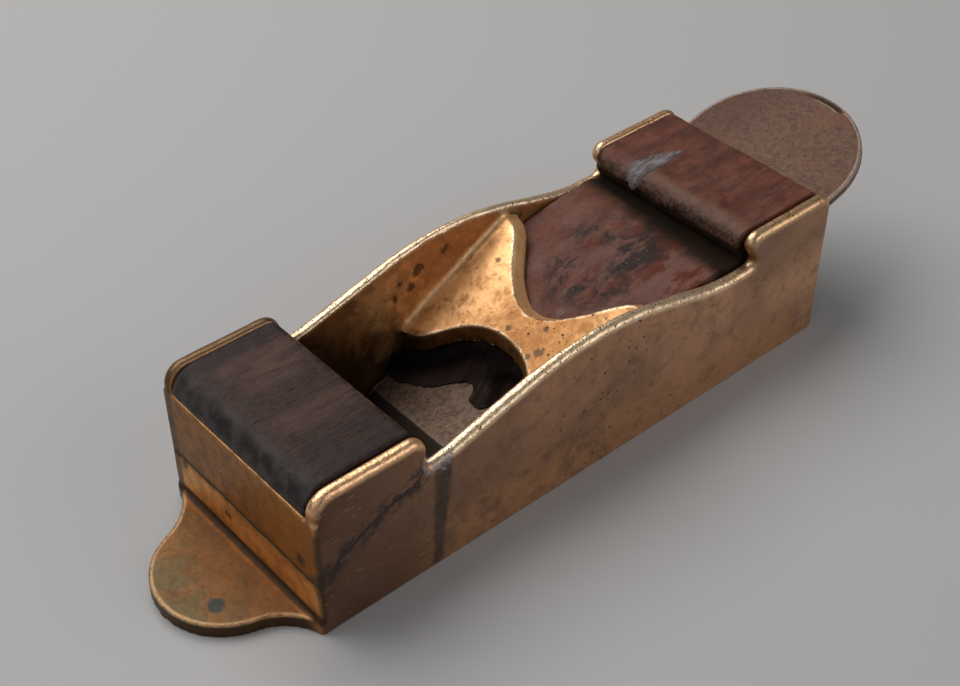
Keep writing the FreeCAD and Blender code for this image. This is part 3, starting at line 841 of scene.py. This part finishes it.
def carved_end(s, colour):
    """Carved end painted near black as shade, with a painted highlight along its crest, painted black as
    shade where it goes up under the bridge; with its masks.
    """
    carved = s.span(s.x, 91.0, 87.0)
    # The carved end painted near black as shade.
    colour = s.mix(s.times(carved, 0.93), colour, CARVED_END_SHADE)
    # Painted highlight along the crest of the carved end.
    crest_highlight = s.times(s.span(s.attribute("edge"), 0.35, 0.85), carved)
    colour = s.mix(s.times(crest_highlight, 0.8), colour, CARVED_CREST_HIGHLIGHT)
    # Painted shade where the end goes up under the bridge.
    slope, rise = 0.543, 27.4
    below_bridge = s.plus(s.minus(s.z, s.times(s.x, slope)), rise)
    shade = s.times(s.span(below_bridge, -4.4, -1.2), s.span(s.x, 94.0, 90.0))
    return s.mix(s.times(shade, 0.97), colour, SHADE_BLACK), carved, shade


def bed_wood():
    s, colour, roughness, normal = rosewood("rosewood_bed", BED_WOOD, 0.55)
    return s.finish(colour, roughness, normal)


def rusted_iron():
    """Old cutter steel: fine brown rust on the round end, greyer towards the ground bevel, its rubbed edges
    painted pale as a highlight.
    """
    s = Shader("iron_rusted")
    mottled = s.noise(1.6, 5.0, 0.72)
    fine = s.noise(0.6, 4.0, 0.75)
    specks = s.times(s.span(s.cells(1.0), 0.24, 0.08), s.span(s.noise(6.0, 3.0), 0.44, 0.58))
    rusty = rust_skin(s, mottled, fine, specks)
    colour = s.mix(s.span(s.x, 100.0, 84.0), rusty, steel_skin(s, mottled, fine, specks))
    bevel = s.attribute("bevel")
    colour = s.mix(bevel, colour, IRON_BEVEL)
    # Rubbed edges, painted pale as a highlight.
    worn = s.span(s.attribute("edge"), 0.25, 0.75)
    colour = s.mix(s.times(worn, s.span(fine, 0.35, 0.6, 0.25, 0.9)), colour, IRON_EDGE_HIGHLIGHT)
    # Painted shadow in the dent behind the burr.
    colour = s.mix(s.times(s.attribute("notch"), 0.9), colour, IRON_DENT_SHADOW)
    roughness = s.blend(bevel, s.span(fine, 0.3, 0.7, 0.46, 0.66), 0.42)
    roughness = s.minus(roughness, s.times(worn, 0.12))
    height = s.minus(s.plus(s.times(fine, 0.6), s.times(mottled, 0.9)), specks)
    normal = s.bump(height, 0.09, 0.9)
    return s.finish(colour, roughness, normal, 0.65)


def rust_skin(s, mottled, fine, specks):
    """Brown rust of the round end, redder in broad patches and darker on the far side."""
    colour = s.mix(s.span(mottled, 0.34, 0.66), RUST_DARK, RUST_LIGHT)
    colour = s.mix(s.span(s.noise(17.0, 4.0, 0.6), 0.48, 0.64, 0.0, 0.6), colour, RUST_RED)
    colour = s.mix(s.span(s.y, 2.0, 22.0, 0.0, 0.5), colour, RUST_FAR_SIDE)
    colour = s.mix(s.times(specks, 0.7), colour, RUST_SPECK)
    pale = s.times(s.span(fine, 0.57, 0.68), s.span(s.noise(9.0, 3.0), 0.42, 0.60))
    colour = s.mix(s.times(pale, 0.5), colour, RUST_PALE)
    return s.mix(s.span(fine, 0.46, 0.34, 0.0, 0.3), colour, RUST_GRAIN)


def steel_skin(s, mottled, fine, specks):
    """Greyer steel of the end that lies in the throat, with dark blotches."""
    colour = s.mix(s.span(mottled, 0.36, 0.66), STEEL_DARK, STEEL_LIGHT)
    colour = s.mix(s.span(s.noise(4.0, 4.0, 0.65), 0.52, 0.66, 0.0, 0.65), colour, STEEL_BLOTCH)
    colour = s.mix(s.times(specks, 0.7), colour, STEEL_SPECK)
    colour = s.mix(s.times(s.span(fine, 0.55, 0.68), 0.65), colour, STEEL_PALE)
    return s.mix(s.span(fine, 0.46, 0.34, 0.0, 0.6), colour, STEEL_GRAIN)


def screw_metal():
    """Dull steel, filed flush with the sole."""
    s = Shader("screw_steel")
    lines = s.noise(0.5, 3.0, 0.6, 0.0, s.stretched((0.08, 1.0, 1.0), (0.0, 0.0, 0.2)))
    mottled = s.noise(1.8, 4.0, 0.6)
    colour = s.mix(s.span(lines, 0.3, 0.7), SCREW_DARK, SCREW_LIGHT)
    colour = s.mix(s.span(mottled, 0.52, 0.7, 0.0, 0.7), colour, SCREW_RUST)
    return s.finish(colour, s.span(mottled, 0.3, 0.7, 0.35, 0.55), s.bump(lines, 0.03, 0.7), 0.85)


# ---- pieces --------------------------------------------------------------------------------

def toe_point(x, y, z):
    """A place given in millimetres from the toe wall, in the part frame's metres."""
    return (TOE_X + x * MM, y * MM, z * MM)


def toe_coordinates(piece):
    """The x, y and z of a piece's vertices, in millimetres from the toe wall."""
    places = positions(piece.data)
    return (places[:, 0] - TOE_X) / MM, places[:, 1] / MM, places[:, 2] / MM


def nudge(piece, axis, millimetres):
    """Moves every vertex along one axis, each by its own amount."""
    places = positions(piece.data)
    places[:, axis] += millimetres * MM
    move_to(piece.data, places)


def body_casting():
    """The casting, with soft cast corners where the bridge meets the walls."""
    piece = remeshed("gunmetal_body", [cad_shape("body_casting"), *bridge_fillets()], 0.55 * MM)
    relax(piece, 1)
    x, y, z = toe_coordinates(piece)
    across = np.abs(y)
    above = z - (BRIDGE_UNDERSIDE - 1.5 + (x - BRIDGE_FRONT) * BRIDGE_SLOPE)
    on_bridge = smoothstep(70, 73, x) * smoothstep(124, 121, x) * smoothstep(30.5, 29.0, across)
    on_bridge *= smoothstep(0, 1.5, above)
    relax(piece, 7, 0.5 * on_bridge)
    facing_up = smoothstep(0.1, 0.4, normals(piece.data)[:, 2])
    on_rim = smoothstep(8.0, 12.0, z) * smoothstep(27.5, 29.0, across) * facing_up
    relax(piece, 2, 0.5 * on_rim)
    roughen(piece, 0.16 * MM, 8 * MM, 1, mask=smoothstep(0.3, 1.2, z))
    roughen(piece, 0.5 * MM, 13 * MM, 7, mask=on_bridge)
    mark_edges(piece, 4)
    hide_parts("body_casting")
    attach(piece, "body")
    return piece


def bridge_fillets():
    """Bars that fill the corners between the bridge's top and the two walls."""
    fillet = 1.7
    sunk = 0.3
    ahead = 1.3
    run = 40.0
    x = BRIDGE_FRONT - ahead
    z = BRIDGE_TOP - ahead * BRIDGE_SLOPE
    bars = []
    for side in (-1, 1):
        corner = [toe_point(x, side * (INNER + sunk), z - sunk),
                  toe_point(x, side * (INNER - fillet), z - sunk),
                  toe_point(x, side * (INNER + sunk), z + fillet)]
        bars.append(prism(corner, (run * MM, 0, run * BRIDGE_SLOPE * MM)))
    return bars


def toe_infill():
    """The front wood, rounded by handling."""
    piece = remeshed("rosewood_toe_infill", [cad_shape("toe_infill")], 0.5 * MM)
    relax(piece, 8)
    roughen(piece, 0.16 * MM, 7 * MM, 2)
    mark_edges(piece, 5)
    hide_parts("toe_infill")
    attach(piece, "body")
    return piece


def turned(places, angle, pivot):
    """Places turned about the Y axis through a pivot."""
    turn = np.array(Matrix.Rotation(angle, 3, "Y"))
    return (np.asarray(places) - pivot) @ turn.T + pivot


def iron():
    """The cutter, remeshed lying flat so that its faces stay true, then laid on its bed."""
    pivot = np.array(toe_point(EDGE_X, 0.0, EDGE_Z))
    points, faces = cad_shape("iron")
    flat = turned(points, BED_ANGLE, pivot)
    piece = remeshed("cutting_iron", [([tuple(place) for place in flat], faces)], 0.45 * MM)
    relax(piece, 3)
    x, y, z = toe_coordinates(piece)
    along = x - EDGE_X
    top = smoothstep(1.5, 2.6, z - EDGE_Z)
    store(piece, "bevel", smoothstep(5.7, 5.3, along))
    store(piece, "notch", struck_edge(piece, along, y, top))
    roughen(piece, 0.12 * MM, 5 * MM, 3, mask=smoothstep(6.5, 9.0, along) * (0.3 + 0.7 * top))
    mark_edges(piece, 4)
    move_to(piece.data, turned(positions(piece.data), -BED_ANGLE, pivot))
    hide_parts("iron")
    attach(piece, "iron")
    return piece


def struck_edge(piece, along, across, top):
    """Dent behind the burr that hammering has raised on the round end; returns its mask."""
    ahead = along - (along.max() - IRON_RADIUS)
    inset = IRON_RADIUS - np.hypot(ahead, across)
    bearing = np.degrees(np.arctan2(across, np.maximum(ahead, 1.0)))
    arc = smoothstep(-19.0, -13.0, bearing) * smoothstep(19.0, 0.0, bearing)
    dent = arc * top * smoothstep(0.3, 1.0, inset) * smoothstep(2.6, 1.3, inset)
    nudge(piece, 2, -0.7 * dent)
    return dent


def wedge():
    """Wedge and head: the carved end scooped and ridged, the head worn, chipped and gouged."""
    piece = remeshed("rosewood_wedge", [cad_shape("wedge")], 0.45 * MM)
    relax(piece, 4)
    carve_end(piece)
    relax(piece, 3, 0.5 * smoothstep(92.0, 90.0, toe_coordinates(piece)[0]))
    sink_quirk(piece)
    gouge, lip = gouge_head(piece)
    relax(piece, 1)
    store(piece, "gouge", gouge)
    store(piece, "lip", lip)
    x, _, z = toe_coordinates(piece)
    exposed = smoothstep(118.0, 128.0, x) * smoothstep(30.0, 36.0, z)
    front_edge = smoothstep(145.0, 149.0, x) * smoothstep(158.0, 152.0, x) * smoothstep(41.0, 43.0, z)
    roughen(piece, 0.16 * MM, 8 * MM, 4)
    roughen(piece, 0.55 * MM, 11 * MM, 5, mask=exposed)
    roughen(piece, 0.9 * MM, 5 * MM, 6, mask=front_edge)
    mark_edges(piece, 5)
    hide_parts("wedge")
    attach(piece, "wedge")
    return piece


def carve_end(piece):
    """Shapes the wedge's end: two hollow scoops between a double-curved foot and a flatter upper edge."""
    x, y, z = toe_coordinates(piece)
    across = np.abs(y)
    off_ridge = np.abs(y + 0.6)
    bed = EDGE_Z + (x - EDGE_X) * math.tan(BED_ANGLE) + IRON_THICK / math.cos(BED_ANGLE)
    deck = BRIDGE_UNDERSIDE + (x - BRIDGE_FRONT) * BRIDGE_SLOPE
    rise = np.clip((z - bed) / (deck - bed), 0.0, 1.0)
    drawn = np.interp(across, (0.0, 3.6, 6.2, 8.6, 12.4, 18.5, 29.9),
                      (76.2, 77.4, 80.1, 79.5, 74.8, 70.3, 67.9))
    drawn += 0.8 * (z - bed)
    foot = np.interp(off_ridge, (0.0, 2.8, 4.4, 5.8, 8.0, 10.3, 14.2, 19.0, 24.5, 29.5),
                     (76.2, 77.0, 79.3, 80.4, 79.9, 77.5, 73.4, 70.2, 68.6, 68.1))
    brow = np.interp(off_ridge, (0.0, 2.6, 5.0, 8.5, 10.9, 14.1, 17.3, 23.4, 29.5),
                     (82.4, 84.0, 84.6, 84.2, 82.8, 79.8, 76.7, 73.1, 69.2))
    hollow = 1.3 * np.sin(np.pi * rise) * smoothstep(1.5, 4.5, off_ridge) * smoothstep(28.8, 24.0, across)
    wanted = foot + (brow - foot) * rise + hollow
    nudge(piece, 0, (wanted - drawn) * smoothstep(9.0, 0.8, x - drawn))


def sink_quirk(piece):
    """Sinks the groove that runs across the wood at the foot of the head."""
    x, y, z = toe_coordinates(piece)
    start = 145.5 + 0.06 * y
    dip = smoothstep(start, start + 5.5, x) * smoothstep(156.5, 153.5, x)
    dip *= smoothstep(34.0, 38.0, z) * smoothstep(43.2, 41.8, z)
    nudge(piece, 2, -1.9 * dip)


def gouge_head(piece):
    """Tears the gouge out of the head's top, deep along its near lip; returns its mask and its lip's."""
    x, y, z = toe_coordinates(piece)
    lip = np.interp(x, (148.0, 153.0, 160.0, 171.0), (11.6, 10.8, 10.2, 11.0))
    brow = np.interp(x, (148.0, 151.0, 155.0, 160.0, 165.0, 171.0), (14.0, 16.6, 18.4, 17.2, 14.6, 11.2))
    share = (y - lip) / np.maximum(brow - lip, 0.3)
    inside = smoothstep(-0.06, 0.10, share) * smoothstep(1.0, 0.75, share)
    inside *= smoothstep(171.0, 168.0, x) * smoothstep(43.5, 45.5, z)
    depth = inside * (1.7 - 1.1 * np.clip(share, 0.0, 1.0)) * smoothstep(171.0, 160.0, x)
    nudge(piece, 2, -depth)
    return inside, inside * smoothstep(0.32, 0.08, share)


def paint(piece, material):
    piece.data.materials.clear()
    piece.data.materials.append(material)


def paint_cad(node, material):
    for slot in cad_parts[node].material_slots:
        slot.link = "OBJECT"
        slot.material = material


# ---- stage ---------------------------------------------------------------------------------

def floor():
    """Plain pale floor, wide enough for low views."""
    half = 3.0
    rim = [(-half, -half, 0), (half, -half, 0), (half, half, 0), (-half, half, 0)]
    mesh = bpy.data.meshes.new("floor")
    mesh.from_pydata(rim, [], [(0, 1, 2, 3)])
    piece = link("floor", mesh)
    material = bpy.data.materials.new("floor_paper")
    material.use_nodes = True
    surface = material.node_tree.nodes["Principled BSDF"]
    surface.inputs["Base Color"].default_value = (0.47, 0.465, 0.465, 1.0)
    surface.inputs["Roughness"].default_value = 0.7
    piece.data.materials.append(material)


def area_light(name, place, target, size, power, tint=(1.0, 1.0, 1.0)):
    data = bpy.data.lights.new(name, "AREA")
    data.shape = "RECTANGLE"
    data.size, data.size_y = size
    data.energy = power
    data.color = tint
    lamp = bpy.data.objects.new(name, data)
    bpy.context.scene.collection.objects.link(lamp)
    lamp.location = place
    lamp.rotation_euler = (Vector(target) - Vector(place)).to_track_quat("-Z", "Y").to_euler()


def lights():
    centre = (0.0, 0.0, 0.02)
    area_light("key", (-0.14, 0.66, 1.05), centre, (1.5, 1.0), 14.0, (1.0, 0.985, 0.96))
    area_light("left_fill", (-1.0, -0.2, 0.7), centre, (0.8, 0.8), 1.0)
    area_light("front_fill", (0.7, -1.3, 0.8), centre, (1.6, 1.0), 6.5)
    world = bpy.data.worlds.new("soft_room")
    world.use_nodes = True
    world.node_tree.nodes["Background"].inputs["Color"].default_value = (0.95, 0.97, 1.0, 1.0)
    world.node_tree.nodes["Background"].inputs["Strength"].default_value = 0.12
    bpy.context.scene.world = world
    bpy.context.scene.view_settings.view_transform = "Standard"


def camera():
    """Camera at about 40 degrees above the floor, off the toe's left corner."""
    azimuth = math.radians(-40.78)
    elevation = math.radians(40.02)
    roll = math.radians(-0.12)
    data = bpy.data.cameras.new("camera")
    data.sensor_width = 36.0
    data.lens = 59.04
    data.clip_start = 0.01
    view = bpy.data.objects.new("camera", data)
    bpy.context.scene.collection.objects.link(view)
    back = Vector((math.sin(azimuth) * math.cos(elevation), -math.cos(azimuth) * math.cos(elevation),
                   math.sin(elevation)))
    right = Vector((0, 0, 1)).cross(back).normalized()
    up = back.cross(right)
    across = right * math.cos(roll) + up * math.sin(roll)
    above = up * math.cos(roll) - right * math.sin(roll)
    place = Vector(toe_point(-135.858, -250.221, 307.648))
    turn = Matrix((across, above, back)).transposed()
    view.matrix_world = Matrix.Translation(place) @ turn.to_4x4()
    bpy.context.scene.camera = view


camera()
lights()
floor()
paint(body_casting(), gunmetal())
paint(toe_infill(), toe_wood())
paint(iron(), rusted_iron())
paint(wedge(), wedge_wood())
paint_cad("bed_infill", bed_wood())
paint_cad("toe_infill_screws", screw_metal())
paint_cad("bed_infill_screws", screw_metal())
